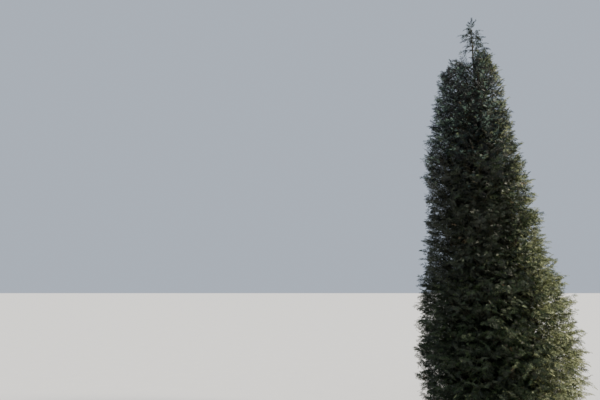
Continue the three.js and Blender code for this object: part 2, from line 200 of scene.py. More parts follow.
# Growth rule of the solids: its seed, what a mass adds to it, and draws that are passed over
SEED = 4021
SEED_PER_MASS = 97
SEEDS_PER_TIER = 970
WARM_UP_DRAWS = 3
CORE_DRAWS = 18
CELL_PASSES = 5

# Seeds of the finer growth
FINE_SEED = 77011
SPRAY_SEEDS = 13
DRIFT_SEED = FINE_SEED + 1
PLUME_SEED = FINE_SEED + 5
LEADER_SEED = FINE_SEED + 9

# Kinds of spray: leaflets, their length at the root and their half width as a share of it
FINE, COARSE, BROAD, FEATHERY = 0, 1, 2, 3
LEAVES = (
    dict(leaflets=11, spread=0.4, width=0.125), dict(leaflets=6, spread=0.45, width=0.2),
    dict(leaflets=5, spread=0.5, width=0.25), dict(leaflets=18, spread=0.36, width=0.105),
)

# Finer growth: plumes are flat side shoots that each carry two rows of sprays. The layers of a tier are
# grids of them: grid step in millimetres, how far they pass the seams, nearest and furthest share of the
# reach, length as a share of the tier's, number of sprays, their size and kind, and how much darker they
# are painted, as painted shade deep in the crown
OUTER = dict(step=88, blur=0.05, near=0.97, far=1.09, length=0.62, sprays=8, size=0.48, kind=FINE, dark=0)
MIDDLE = dict(step=127, blur=0.1, near=0.8, far=0.95, length=0.7, sprays=7, size=0.56, kind=COARSE,
              dark=0.1)
INNER = dict(step=110, blur=0.16, near=0.42, far=0.7, length=0.95, sprays=8, size=0.75, kind=BROAD,
             dark=0.5)
CLOSE_OUTER = dict(OUTER, step=81)
CLOSE_MIDDLE = dict(MIDDLE, step=115)
CREST_INNER = dict(INNER, sprays=7, size=0.5, kind=COARSE, dark=0.3)
LAYERS = 4 * ((OUTER, MIDDLE, INNER),) + (
    (CLOSE_OUTER, CLOSE_MIDDLE, INNER), (CLOSE_OUTER, CLOSE_MIDDLE, CREST_INNER),
)

# Plumes at the places of the solids' sprays, and how far they stand out
MAIN = dict(OUTER, sprays=11, size=0.42)
MAIN_PUSH = 0.16

# Places of plumes: columns and stagger of the grid, their fan, where they fork, and how far chance moves
# them
FEWEST_COLUMNS = 2
GRID_STAGGER = 0.5
PLUME_FAN = 0.25
FIRST_FORK = 0.45
FORK_RANGE = 0.5
PLUME_CHANCE = dict(across=0.9, up=0.5, heading=0.7, rise=27, length=0.2, roll=0.9)

# Sprays of a plume in shares of its length: the first, the span of the two rows and the one at the tip,
# their angle to the midrib, how they close and shorten to the tip, and how plume and sprays droop
PLUME = dict(first=0.1, span=0.8, stagger=0.5, last=0.88, angle=56, closing=16, shorten=0.5, droop=0.7,
             more_droop=0.6, sag=0.16, more_sag=0.12)
SPRAY_CHANCE = dict(angle=8, length=0.12, tilt=0.8)

# Sprays of a leader shoot in the same terms, with their step in millimetres, the fewest of them and the
# share of the shoot where they end. Those of the leader's tip hang less
SHOOT = dict(step=14, fewest=6, end=0.96, stagger=0.3, last=0.97, angle=46, length=0.68, sag=0.45,
             tip_sag=0.03)
SHOOT_CHANCE = dict(roll=0.6, angle=9, length=0.1)

# Leaflets of a spray in shares of its length, where a leaflet is widest and how its sides sag, the leafy
# midrib, and how many different sprays a kind has
LEAFLET = dict(first=0.06, span=0.84, stagger=0.4, angle=45, closing=15, shorten=0.45, narrow=0.3,
               sag=0.02, more_sag=0.08)
LEAFLET_CHANCE = dict(angle=9, length=0.25, width=0.2, roll=0.6)
WIDEST = 0.42
SIDE_SAG = 0.2
MIDRIB_WIDTH = 0.03
MIDRIB_SAG = 0.02
TEMPLATES = 6

# The crest is low in front of the leader and behind it, higher on the full side and highest on the lean
# side: cosine of the turn from the full side, and share of the height. Stems in front and behind are cut
# to a share of their length
CREST = ((-0.58, -0.25, 0.25, 0.6, 0.92), (1.0, 0.6, 0.54, 0.67, 0.87))
CREST_FRONT = 0.25
CREST_STEM = 0.62

# How near the ground and how far outside the solids' box leaves may come, the height under which plumes
# hang less, and the lowest root of a plume
GROUND_CLEARANCE = 12
SIDE_CLEARANCE = 55
LOW_HANG = 400
LOWEST_ROOT = 45

# The lower plumes spread a little past the solids: heights, and share of the reach that they add
SKIRT = ((0, 300, 1500, 2100), (0, 0.07, 0.03, 0))

# Tubes of the twigs: root radius, tip radius, sides and rings. Those of the limbs, whose girth is uneven
# round and along them. How far the bark of each tube is shifted in metres, and how much of a plume its
# midrib spans
BRANCH_TUBE = (TWIG_RADIUS, 2.6, 5, 6)
TWIG_TUBE = (2.6, 1.8, 3, 2)
MIDRIB_TUBE = (1.8, 0.8, 3, 2)
SHOOT_TUBE = (SHOOT_RADIUS, SHOOT_TIP_RADIUS, 6, 8)
LIMB_SIDES = 12
LIMB_RINGS = 22
LIMB_RELIEF = 0.035
RELIEF_DRIFT = 0.5
BARK_SHIFT = 0.37
MIDRIB_LENGTH = 0.94

# Trunk's mesh, whose rings crowd to the foot. Its bark's strips and fibres: length in millimetres, and
# depth as a share of the relief, which is whole from a radius in metres up. The ends are flat
TRUNK_SIDES = 96
TRUNK_RINGS = 64
RING_POWER = 1.25
STRIP_LENGTH = 90
STRIP_DEPTH = 0.5
FIBRES_PER_STRIP = 2.3
FIBRE_LENGTH = 45
FIBRE_SHIFT = 50
FIBRE_DEPTH = 0.25
FULL_RELIEF_RADIUS = 0.03
FLAT_END = 0.9

# Barks: colours of furrows, strips and weathered strips. The trunk's is stringy, the boughs' thinner, and
# the twigs' dark green-brown, made darker still as painted shade. The leader's stem has the twigs' bark from
# a height up, which also paints shade on the upper stem
BARKS = dict(
    stringy_bark=("#35261c", "#5f4c3d", "#6f655a"),
    thin_bark=("#38291b", "#5c4837", "#655a4d"),
    young_bark=("#2a281c", "#443f2c", "#3d3c29"),
)
YOUNG_STEM = 4150

# Bark patterns: width of a twig's strips in metres, the boughs' as a share of the trunk's, how the strips
# stretch along the limb, where in the noise furrow and strip lie, and weathered patches in metres
YOUNG_STRIP = 0.004
THIN_STRIP = 0.6
STRIP_STRETCH = 0.09
FURROW = 0.38
STRIP = 0.6
BARK_PATCH = 0.12
BARK_ROUGHNESS = 0.9

# Leaf patterns: patches and scales in metres, and where in the noise the dark and the light leaves lie
LEAF_PATCH = 0.022
LEAF_SCALE = 0.006
LEAF_NOISE = (0.45, 0.6)
LEAF_ROUGHNESS = 0.48

# Shades of leaf, from dark to light, and the places of some. Inner is mostly painted shade, light partly and
# olive wholly painted sunlight. The bluish shades of the upper crown, a painted sky reflection and painted
# shade, come COOL places after the others
SHADES = (
    "inner", "deep", "mid", "light", "olive", "cool_inner", "cool_deep", "cool_mid", "cool_light", "bronze",
)
DEEP, MID, OLIVE, COOL, BRONZE = 1, 2, 4, 5, 9
# The leader's sprays are deep or mid, some of them in the bluish painted sky reflection and shade
LEADER_SHADES = (DEEP, DEEP, MID, DEEP + COOL, MID + COOL)

# How light the sprays are, as painted light and shade. Painted sunlight makes those of the sunlit flank
# lightest, most so below the height where the painted sunlight fades out. In painted shade low down all are
# much alike
PAINTED_SUN_SIDE = math.radians(-20)
PAINTED_SUN_POWER = 4
PAINTED_SUN_HEIGHT = 3500
PAINTED_SUN_FADE = 1500
SHADE_HEIGHT = 3650
SHADE_FADE = 950
UPPER_SUN = 0.42
LOWER_SUN = 1.1
FOOT_SUN = 0.5
FOOT_HEIGHT = 1300
TO_THE_TIP = 0.4
PAINTED_CLUMP_SHADE = 0.3
LOW_DARK = 0.3
SHADE_CHANCE = 0.3
PATCH_CHANCE = 0.26
PATCH_SIZE = 250
UPPER_CONTRAST = 1.5
SHADED_CONTRAST = 0.5
SHADED_LIFT = (-0.12, 0.22)
LIFT_HEIGHT = 2500
LIFT_FADE = 1300
SHADED_MOST = 0.62
SHADE_STEPS = (0.02, 0.32, 0.62, 0.86)
BRONZE_SHARE = 0.002

# Stage in metres and degrees: the painted floor, lights and camera
FLOOR_SIZE = 600
PAINT = ("#d9dadb", "#dfe0e0")
PAINT_ROUGHNESS = 0.8
MOTTLES_PER_METRE = 3.0
KEY = dict(spread=14, place=(9.4, -1.0, 7.2), colour="#fff3de")
FILL = dict(spread=25, place=(-3.0, -4.0, 8.0), colour="#e6eeff")
SKY_COLOUR = "#d6e2f3"
CAMERA_PLACE = (-2.386, -6.0, 1.6)
CAMERA_TILT = 101
LENS = 28
SENSOR = 36


def linear(colour):
    """A colour as linear red, green, blue and alpha, from its sRGB hex value."""
    channels = [int(colour[start:start + 2], 16) / 255 for start in (1, 3, 5)]
    return (*(c / 12.92 if c <= 0.04045 else ((c + 0.055) / 1.055) ** 2.4 for c in channels), 1.0)


# Growth rule of the solids


def seeded_random(seed):
    """Gives the same run of numbers from 0 to 1 for the same seed."""
    state = seed

    def draw():
        nonlocal state
        state = state * 16807 % 2147483647
        return state / 2147483647

    for _ in range(WARM_UP_DRAWS):
        draw()
    return draw


def jitter(draw, amount):
    """A number between minus and plus the amount."""
    return (draw() * 2 - 1) * amount


def lerp(start, end, share):
    """The value at a share of the way from start to end."""
    return start + (end - start) * share


def unit(vector):
    """The vector or vectors at length 1."""
    return vector / np.linalg.norm(vector, axis=-1, keepdims=True)


def bend_point(curve, along):
    """Points at shares along a curve of three control points."""
    along = np.asarray(along, float)[..., None]
    start, bend, end = curve
    return (1 - along) ** 2 * start + 2 * along * (1 - along) * bend + along ** 2 * end


def bend_tangent(curve, along):
    """Directions at shares along a curve of three control points."""
    along = np.asarray(along, float)[..., None]
    start, bend, end = curve
    return unit((1 - along) * (bend - start) + along * (end - bend))


def first_part(curve, share):
    """The first share of a curve, as a curve of its own."""
    start, bend, _ = curve
    return start, lerp(start, bend, share), bend_point(curve, share)


def trunk_centre(height):
    """The middle of the trunk at a height, with its sweep and lean."""
    share = height / TRUNK_TOP
    wave = SWAY_WAVES * math.pi * share
    x = TIP_LEAN * share * share + SWAY * math.sin(wave) * (1 - share)
    y = SWAY * math.sin(wave * CROSS_SWAY) * (1 - share)
    return np.array((x, y, height), float)


def trunk_radius(height, azimuth):
    """The trunk's radius at a height and heading, with ridges in the root flare."""
    share = min(max(height / TRUNK_TOP, 0), 1)
    taper = TRUNK_TIP_RADIUS + TRUNK_RADIUS * (1 - share) ** TAPER_POWER
    flare = math.exp(-height / FLARE_HEIGHT)
    ridge = 1 + RIDGE_DEPTH * flare * math.cos(FLARE_RIDGES * azimuth + RIDGE_TURN)
    return (taper + FLARE_RADIUS * flare) * ridge


def crown_reach(azimuth, height):
    """The crown's reach from the upright axis, in a direction and at a height."""
    full = np.interp(height, CROWN_OUTLINE[:, 0], CROWN_OUTLINE[:, 1])
    lean = np.interp(height, CROWN_OUTLINE[:, 0], CROWN_OUTLINE[:, 2])
    return (full + lean) / 2 + ((full - lean) / 2) * math.cos(azimuth - FULL_SIDE)


def make_cell(level, sector):
    """The space of one mass: a sector of the crown between two seams."""
    tier = TIERS[level]
    half_width = math.pi / tier["sectors"]
    azimuth = math.radians(tier["turn"]) + 2 * half_width * sector
    return dict(tier, level=level, half_width=half_width, azimuth=azimuth,
                lower=SEAMS[level], upper=SEAMS[level + 1])


def cell_point(cell, across, up, reach):
    """A point in a cell: across from -1 to 1, up from 0 to 1, out to a share of the crown's reach."""
    azimuth = cell["azimuth"] + across * cell["half_width"]
    lower, upper = cell["lower"], cell["upper"]
    radius = 0
    for _ in range(CELL_PASSES):
        height = lerp(lower[0] + lower[1] * radius, upper[0] + upper[1] * radius, up)
        radius = reach * crown_reach(azimuth, height)
    return np.array((radius * math.cos(azimuth), radius * math.sin(azimuth), height))


def bough_curve(cell):
    """A bough's curve, from the middle of the trunk to the place where its mass begins."""
    end = cell_point(cell, 0, 0.5, cell["inner"])
    root = trunk_centre(lerp(cell["lower"][0], cell["upper"][0], BOUGH_ROOT_LEVEL))
    elbow = (root + end) / 2 - UP * BOUGH_SAG * np.linalg.norm(end - root)
    return root, elbow, end


def stem_curve(cell):
    """A mass's stem, from its bough's tip or the middle of the trunk out to its lead."""
    lead = cell_point(cell, 0, STEM_LEAD_LEVEL, STEM_LEAD_REACH)
    bough = bough_curve(cell)
    if cell["bough"]:
        tangent = bend_tangent(bough, 1)
        start = bough[2] + tangent * JOINT_GAP
        return start, start + tangent * STEM_BEND * np.linalg.norm(lead - start), lead
    root = bough[0]
    return root, (root + lead) / 2 - UP * STEM_SAG * np.linalg.norm(lead - root), lead


def heading_vector(azimuth, rise):
    """A unit vector with a heading and a rise, in radians."""
    return np.array((
        math.cos(azimuth) * math.cos(rise), math.sin(azimuth) * math.cos(rise), math.sin(rise),
    ))


def grid_places(cell, draw):
    """Places over the crown's surface in a cell, each moved a little, in the order of the solids' rule."""
    rows, columns = cell["rows"], cell["columns"]
    places = []
    for row in range(rows):
        for column in range(columns):
            stagger = SPRAY_STAGGER if row % 2 == 0 else -SPRAY_STAGGER
            place = (2 * column + 1) / columns - 1 + stagger + jitter(draw, CHANCE["across"])
            across = place * SPRAY_SPREAD
            level = (row + 0.5) / rows + jitter(draw, CHANCE["up"])
            up = min(max(level, SPRAY_LOWEST), SPRAY_HIGHEST)
            tip = cell_point(cell, across, up, 1 - CHANCE["reach"] * draw())
            azimuth = math.atan2(tip[1], tip[0]) + SPRAY_FAN * across + jitter(draw, CHANCE["fan"])
            rise = math.radians(cell["rise"] + SPRAY_RISE_GAIN * (up - 0.5) + jitter(draw, CHANCE["rise"]))
            length = cell["length"] * (1 + jitter(draw, CHANCE["length"]))
            places.append(dict(across=across, up=up, tip=tip, heading=heading_vector(azimuth, rise),
                               length=length, roll=jitter(draw, CHANCE["roll"])))
    return places


def twig_curve(fork, root, heading, end):
    """A twig that leaves its limb at the fork and swings into a spray's heading at its root."""
    return fork, root - heading * TWIG_BEND * np.linalg.norm(root - fork), end


# Finer growth


def fine_places(cell, draw, main_places, layer):
    """Plume places on a finer grid. Each belongs to the nearest main place, and sinks away from it."""
    settings = bpy.context.scene.arborvitae_foliage
    middle = cell_point(cell, 0, 0.5, 1)
    width = 2 * cell["half_width"] * math.hypot(middle[0], middle[1])
    height = cell_point(cell, 0, 1, 1)[2] - cell_point(cell, 0, 0, 1)[2]
    step = layer["step"] * settings.spacing
    rows = round(height / step)
    found = []
    for row in range(rows):
        girth = cell_point(cell, 0, (row + 0.5) / rows, 1)[:2]
        columns = max(FEWEST_COLUMNS, round(2 * cell["half_width"] * math.hypot(*girth) / step))
        for column in range(columns):
            across = (2 * column + 1 + GRID_STAGGER * (row % 2)) / columns - 1
            across += jitter(draw, PLUME_CHANCE["across"] / columns)
            up = (row + 0.5) / rows + jitter(draw, PLUME_CHANCE["up"] / rows)
            up = lerp(-layer["blur"], 1 + layer["blur"], up)
            if cell["level"] == TOP_TIER:
                turn = cell["azimuth"] + across * cell["half_width"] - FULL_SIDE
                up *= np.interp(math.cos(turn), *CREST)
            gaps = [
                ((across - main["across"]) * width / 2) ** 2 + ((up - main["up"]) * height) ** 2
                for main in main_places
            ]
            parent = int(np.argmin(gaps))
            sink = min(math.sqrt(gaps[parent]) / settings.clump, 1) ** 2
            reach = lerp(layer["near"], layer["far"], draw() ** 2) - settings.relief * sink
            tip = cell_point(cell, across, up, reach)
            tip[:2] *= 1 + np.interp(tip[2], *SKIRT)
            azimuth = math.atan2(tip[1], tip[0]) + PLUME_FAN * across * cell["half_width"]
            azimuth += jitter(draw, PLUME_CHANCE["heading"])
            rise = cell["rise"] * settings.rise + SPRAY_RISE_GAIN * (up - 0.5)
            rise = math.radians(rise + jitter(draw, PLUME_CHANCE["rise"]))
            length = cell["length"] * layer["length"] * (1 + jitter(draw, PLUME_CHANCE["length"]))
            found.append(dict(
                parent=parent, tip=tip, heading=heading_vector(azimuth, rise), length=length,
                roll=jitter(draw, PLUME_CHANCE["roll"]), sink=sink, fork=FIRST_FORK + FORK_RANGE * draw(),
                layer=layer))
    return found


def grow_mass(level, sector):
    """Everything that grows in one mass: its limbs as curves with radii, and its plumes."""
    cell = make_cell(level, sector)
    seeds = SEEDS_PER_TIER * level + SEED_PER_MASS * sector
    draw = seeded_random(SEED + seeds)
    for _ in range(CORE_DRAWS):
        draw()
    stem = stem_curve(cell)
    main_places = grid_places(cell, draw)
    limbs = [(stem, STEM_RADIUS, STEM_TIP_RADIUS)]
    if level == TOP_TIER and abs(math.cos(cell["azimuth"] - FULL_SIDE)) < CREST_FRONT:
        limbs = [(first_part(stem, CREST_STEM), STEM_RADIUS, STEM_TIP_RADIUS)]
    if cell["bough"]:
        limbs.append((bough_curve(cell), cell["bough"], BOUGH_TIP_RADIUS))
    branches, twigs, plumes = [], [], []
    for place in main_places:
        root = place["tip"] - place["heading"] * place["length"]
        fork = bend_point(stem, FIRST_TWIG + TWIG_RANGE * place["up"])
        end = root + place["heading"] * place["length"] * SPRAY_SINK
        branches.append(twig_curve(fork, root, place["heading"], end))
        tip = place["tip"] + place["heading"] * place["length"] * MAIN_PUSH
        plumes.append(lift_plume(dict(place, tip=tip, sink=0.0, layer=MAIN)))
    fine_draw = seeded_random(FINE_SEED + seeds)
    for layer in LAYERS[level]:
        for place in fine_places(cell, fine_draw, main_places, layer):
            plume = lift_plume(place)
            fork = bend_point(branches[place["parent"]], place["fork"])
            twigs.append(twig_curve(fork, plume["root"], plume["heading"], plume["root"]))
            plumes.append(plume)
    return limbs, branches, twigs, plumes


def lift_plume(place):
    """A plume at its place, within the crown's box and off the ground, where plumes hang less."""
    root = place["tip"] - place["heading"] * place["length"]
    root[2] = max(root[2], LOWEST_ROOT)
    tip = np.clip(place["tip"], *crown_box())
    reach = tip - root
    return dict(place, root=root, tip=tip, heading=unit(reach), length=np.linalg.norm(reach),
                hang=min(1, tip[2] / LOW_HANG))


def crown_box():
    """The lowest and highest coordinates of plumes: those of the solids and a little more."""
    lowest = np.array(CAD_BOUNDS[0]) / METRES - SIDE_CLEARANCE
    highest = np.array(CAD_BOUNDS[1]) / METRES + SIDE_CLEARANCE
    lowest[2] = GROUND_CLEARANCE
    return lowest, highest


def midrib_curve(plume):
    """The midrib of a plume, which hangs to its tip."""
    droop = bpy.context.scene.arborvitae_foliage.droop * plume["hang"]
    ahead = plume["heading"] * plume["length"]
    end = plume["root"] + MIDRIB_LENGTH * (ahead - UP * droop * plume["length"])
    end[2] = max(end[2], GROUND_CLEARANCE)
    return plume["root"], plume["root"] + 0.5 * ahead, end


def shoot_curve(shoot):
    """The curve of a sparse side shoot of the leader, which arches out from the trunk."""
    height, heading, length, rise = shoot
    root = trunk_centre(height)
    out = heading_vector(math.radians(heading), 0)
    climb = math.radians(rise)
    stretch = length - (1 - SPRAY_SINK) * SHOOT_SPRAY
    end = root + out * stretch * math.cos(climb) + UP * stretch * (math.sin(climb) - SHOOT_DROOP)
    arch = root + out * 0.5 * stretch * math.cos(climb) + UP * SHOOT_ARCH * stretch * math.sin(climb)
    return root, arch, end


def tip_curve():
    """The end of the leader, which carries on from the trunk's top."""
    foot = trunk_centre(TRUNK_TOP)
    length = LEADER_TIP_LENGTH - (1 - SPRAY_SINK) * SHOOT_SPRAY
    return foot, foot + UP * 0.5 * length, foot + np.array((LEADER_TIP_LEAN * length, 0, length))


def leader_curves():
    """The leader's shoots: the curve of each, where its leaves start, and the length of its end spray."""
    kinds = (
        (LEADER_SHOOTS, FIRST_LEADER_SPRAY, SHOOT_SPRAY),
        (SMALL_SHOOTS, FIRST_LEADER_SPRAY, SMALL_SPRAY),
        (CREST_SHOOTS, FIRST_CREST_SPRAY, SHOOT_SPRAY),
    )
    found = [(shoot_curve(shoot), first, longest) for shoots, first, longest in kinds for shoot in shoots]
    return found + [(tip_curve(), 0, SHOOT_SPRAY)]


# Meshes from arrays


def side_and_over(tangents):
    """Two directions square to each tangent: level sideways, and the upper side."""
    side = np.cross(tangents, UP)
    upright = np.linalg.norm(side, axis=-1) < LEAST_SIDE
    side[upright] = (1.0, 0.0, 0.0)
    side = unit(side)
    return side, np.cross(side, tangents)


def tube_arrays(curves, root_radius, tip_radius, sides, rings, relief=0.0):
    """Corners, four-sided faces and face-corner UVs of tapered tubes along curves. UVs are in metres.

    A radius is one number for all the tubes, or one for each.
    """
    count = len(curves)
    root_radii = np.broadcast_to(np.asarray(root_radius, float), count)
    tip_radii = np.broadcast_to(np.asarray(tip_radius, float), count)
    along = np.linspace(0, 1, rings + 1)
    points = np.stack([bend_point(curve, along) for curve in curves])
    tangents = np.stack([bend_tangent(curve, along) for curve in curves])
    side, over = side_and_over(tangents)
    angles = np.linspace(0, 2 * np.pi, sides, endpoint=False)
    radii = lerp(root_radii[:, None], tip_radii[:, None], along)
    radii = np.repeat(radii[:, :, None], sides, axis=2)
    if relief:
        rough = np.random.default_rng(FINE_SEED).normal(size=(count, 1, sides))
        drift = np.random.default_rng(DRIFT_SEED).normal(size=radii.shape)
        radii = radii * (1 + relief * (rough + RELIEF_DRIFT * drift))
    rims = np.sin(angles)[:, None] * side[:, :, None, :] + np.cos(angles)[:, None] * over[:, :, None, :]
    corners = points[:, :, None, :] + radii[..., None] * rims

    ring = np.arange(rings)[:, None] * sides
    step = np.arange(sides)[None, :]
    after = (step + 1) % sides
    faces = np.stack((ring + step, ring + after, ring + sides + after, ring + sides + step), axis=-1)
    offsets = np.arange(count)[:, None, None] * (rings + 1) * sides
    faces = faces.reshape(-1, 4)[None] + offsets

    lengths = np.linalg.norm(np.diff(points, axis=1), axis=-1)
    reach = np.concatenate((np.zeros((count, 1)), np.cumsum(lengths, axis=1)), axis=1) * METRES
    girth = 2 * np.pi * root_radii * METRES
    u = np.stack((step, step + 1, step + 1, step), axis=-1) / sides
    u = np.broadcast_to(u, (rings, sides, 4))[None] * girth[:, None, None, None]
    low, high = reach[:, :-1], reach[:, 1:]
    v = np.stack((low, low, high, high), axis=-1)[:, :, None, :]
    shifts = np.arange(count)[:, None, None, None] * BARK_SHIFT
    v = np.broadcast_to(v, (count, rings, sides, 4)) + shifts
    uvs = np.stack((np.broadcast_to(u, v.shape), v), axis=-1)
    return corners.reshape(-1, 3), faces.reshape(-1, 4), uvs.reshape(-1, 2)


def joined(parts):
    """Corners, faces and UVs of several parts as one."""
    starts = np.cumsum([0] + [len(part[0]) for part in parts[:-1]])
    faces = [part[1] + start for part, start in zip(parts, starts)]
    return (
        np.concatenate([part[0] for part in parts]), np.concatenate(faces),
        np.concatenate([part[2] for part in parts]),
    )


def kite(start, heading_angle, length, half_width, sag, roll=0.0):
    """Four corners of a leaflet: root, one side, tip, other side. It rolls about its own length."""
    ahead = np.array((math.cos(heading_angle), math.sin(heading_angle), 0))
    across = np.array((-ahead[1], ahead[0], 0)) * math.cos(roll) + UP * math.sin(roll)
    widest = start + ahead * length * WIDEST - UP * SIDE_SAG * sag
    return (
        start,
        widest + across * half_width,
        start + ahead * length - UP * sag,
        widest - across * half_width,
    )


def spray_template(variant, leaflets, spread, width):
    """Corners of one flat spray of unit length along X: a leafy midrib, and leaflets on both sides."""
    draw = seeded_random(FINE_SEED + SPRAY_SEEDS * variant)
    scale = bpy.context.scene.arborvitae_foliage.leaflet_width
    rule, chance = LEAFLET, LEAFLET_CHANCE
    found = [kite(np.zeros(3), 0.0, 1.0, MIDRIB_WIDTH, MIDRIB_SAG)]
    for order in range(leaflets):
        start = rule["first"] + rule["span"] * (order + rule["stagger"] * draw()) / leaflets
        flank = 1 if (order + variant) % 2 else -1
        angle = rule["angle"] - rule["closing"] * start + jitter(draw, chance["angle"])
        length = spread * (1 - rule["shorten"] * start) * (1 + jitter(draw, chance["length"]))
        half_width = scale * width * spread * (1 - rule["narrow"] * start)
        half_width *= 1 + jitter(draw, chance["width"])
        sag = rule["sag"] + rule["more_sag"] * draw()
        found.append(kite(np.array((start, 0, 0)), flank * math.radians(angle), length, half_width, sag,
                          jitter(draw, chance["roll"])))
    return np.concatenate(found)


def gathered(rows):
    """Rows of arrays with the same names as one array for each name."""
    return {key: np.concatenate([row[key] for row in rows]) for key in rows[0]}


def plume_sprays(plumes):
    """Roots, axes, lengths, droops and shades of all the sprays that the plumes carry."""
    found = []
    hanging = bpy.context.scene.arborvitae_foliage.droop
    draws = np.random.default_rng(PLUME_SEED)
    for plume in plumes:
        heading, length, roll = plume["heading"], plume["length"], plume["roll"]
        side, over = side_and_over(heading[None])
        across = side[0] * math.cos(roll) + over[0] * math.sin(roll)
        droop = hanging * plume["hang"] * (PLUME["droop"] + PLUME["more_droop"] * draws.random())
        count = plume["layer"]["sprays"]
        order = np.arange(count)
        along = PLUME["first"] + PLUME["span"] * (order + PLUME["stagger"] * draws.random(count)) / count
        along = np.append(along, PLUME["last"])
        flank = np.where(order % 2 == 0, 1.0, -1.0)
        angle = PLUME["angle"] - PLUME["closing"] * along[:-1]
        angle = angle + draws.normal(size=count) * SPRAY_CHANCE["angle"]
        angle = np.append(flank * np.radians(angle), 0.0)
        reach = plume["layer"]["size"] * (1 - PLUME["shorten"] * along)
        reach = reach * (1 + draws.normal(size=len(along)) * SPRAY_CHANCE["length"])
        roots = plume["root"] + length * (along[:, None] * heading - (droop * along ** 2)[:, None] * UP)
        tangent = unit(heading - (2 * droop * along)[:, None] * UP)
        ahead = unit(np.cos(angle)[:, None] * tangent + np.sin(angle)[:, None] * across)
        tilt = draws.normal(size=(len(along), 1)) * SPRAY_CHANCE["tilt"]
        normal = unit(np.cross(tangent, across))
        flat = unit(np.cross(normal, ahead))
        found.append(dict(
            root=roots,
            ahead=ahead,
            side=unit(flat * np.cos(tilt) + normal * np.sin(tilt)),
            length=reach * length,
            droop=plume["hang"] * (PLUME["sag"] + PLUME["more_sag"] * draws.random(len(along))),
            shade=spray_shades(plume, along, draws),
            kind=np.full(len(along), plume["layer"]["kind"]),
        ))
    return gathered(found)


def leader_sprays():
    """Sprays on alternate sides of each leader shoot, and one at its end."""
    found = []
    draws = np.random.default_rng(LEADER_SEED)
    for curve, first, longest in leader_curves():
        upright = first == 0
        reach = np.linalg.norm(curve[2] - curve[0])
        count = max(SHOOT["fewest"], round((1 - first) * reach / SHOOT["step"]))
        along = np.arange(count) + SHOOT["stagger"] * draws.random(count)
        along = np.append(first + (SHOOT["end"] - first) * along / count, SHOOT["last"])
        points, tangents = bend_point(curve, along), bend_tangent(curve, along)
        side, over = side_and_over(tangents)
        roll = TIP_ROLL if upright else SHOOT_ROLL
        roll = roll + draws.normal(size=(len(along), 1)) * SHOOT_CHANCE["roll"]
        across = side * np.cos(roll) + over * np.sin(roll)
        flank = np.where(np.arange(len(along)) % 2 == 0, 1.0, -1.0)[:, None]
        angle = np.radians(SHOOT["angle"] + draws.normal(size=(len(along), 1)) * SHOOT_CHANCE["angle"])
        angle[-1] = 0
        ahead = unit(np.cos(angle) * tangents + flank * np.sin(angle) * across)
        normal = unit(np.cross(tangents, across))
        length = longest * (SHOOT["length"] + draws.normal(size=len(along)) * SHOOT_CHANCE["length"])
        length[-1] = longest
        found.append(dict(
            root=points,
            ahead=ahead,
            side=unit(np.cross(normal, ahead)),
            length=length,
            droop=np.full(len(along), SHOOT["tip_sag"] if upright else SHOOT["sag"]),
            shade=draws.choice(LEADER_SHADES, len(along)),
            kind=np.full(len(along), FEATHERY),
        ))
    return gathered(found)


def share_under(height, top, depth):
    """How far down a height lies in a band from its top, from 0 above the band to 1 under it."""
    return min(max((top - height) / depth, 0), 1)


def spray_shades(plume, along, draws):
    """Deals a foliage colour to each spray: lighter to the tips, painted sunlight on the sunlit flank,
    painted shade inside, between clumps and low down, and a painted sky reflection up high.
    """
    tip = plume["tip"]
    azimuth = math.atan2(tip[1], tip[0])
    # Painted sunlight: sprays that face the sun's side are dealt lighter shades, more so low down and at the
    # foot
    painted_sun = (0.5 + 0.5 * math.cos(azimuth - PAINTED_SUN_SIDE)) ** PAINTED_SUN_POWER
    painted_sun_below = share_under(tip[2], PAINTED_SUN_HEIGHT, PAINTED_SUN_FADE)
    low = share_under(tip[2], SHADE_HEIGHT, SHADE_FADE)
    lift = lerp(*SHADED_LIFT, share_under(tip[2], LIFT_HEIGHT, LIFT_FADE))
    foot = share_under(tip[2], FOOT_HEIGHT, FOOT_HEIGHT)
    # Painted shade: low down and away from the sun, sprays are dealt much alike shades, lifted at the foot
    painted_shade = low * (1 - painted_sun)
    # Painted shade: inner layers and sprays sunk between clumps are dealt darker shades
    dark = plume["layer"]["dark"] * lerp(1, LOW_DARK, low)
    tone_and_painted_shade = TO_THE_TIP * along - PAINTED_CLUMP_SHADE * plume["sink"] - dark
    tone_and_painted_shade = tone_and_painted_shade + draws.normal(size=len(along)) * SHADE_CHANCE
    tone_and_painted_shade = tone_and_painted_shade + noise.noise(Vector(tip) / PATCH_SIZE) * PATCH_CHANCE
    light = (
        (lerp(UPPER_SUN, LOWER_SUN, painted_sun_below) + FOOT_SUN * foot) * painted_sun + lift * painted_shade
        + tone_and_painted_shade * lerp(UPPER_CONTRAST, SHADED_CONTRAST, painted_shade)
    )
    # Painted shade: away from the sun the lightest shades are held back
    shade = np.digitize(np.minimum(light, SHADED_MOST + painted_sun), SHADE_STEPS)
    # Painted sky reflection and painted shade: sprays of the upper crown away from the sun take the bluish
    # shades
    painted_sky_and_shade = (draws.random(len(along)) < (1 - low) * (1 - painted_sun)) & (shade < OLIVE)
    shade = np.where(painted_sky_and_shade, shade + COOL, shade)
    return np.where(draws.random(len(along)) < BRONZE_SHARE, BRONZE, shade)


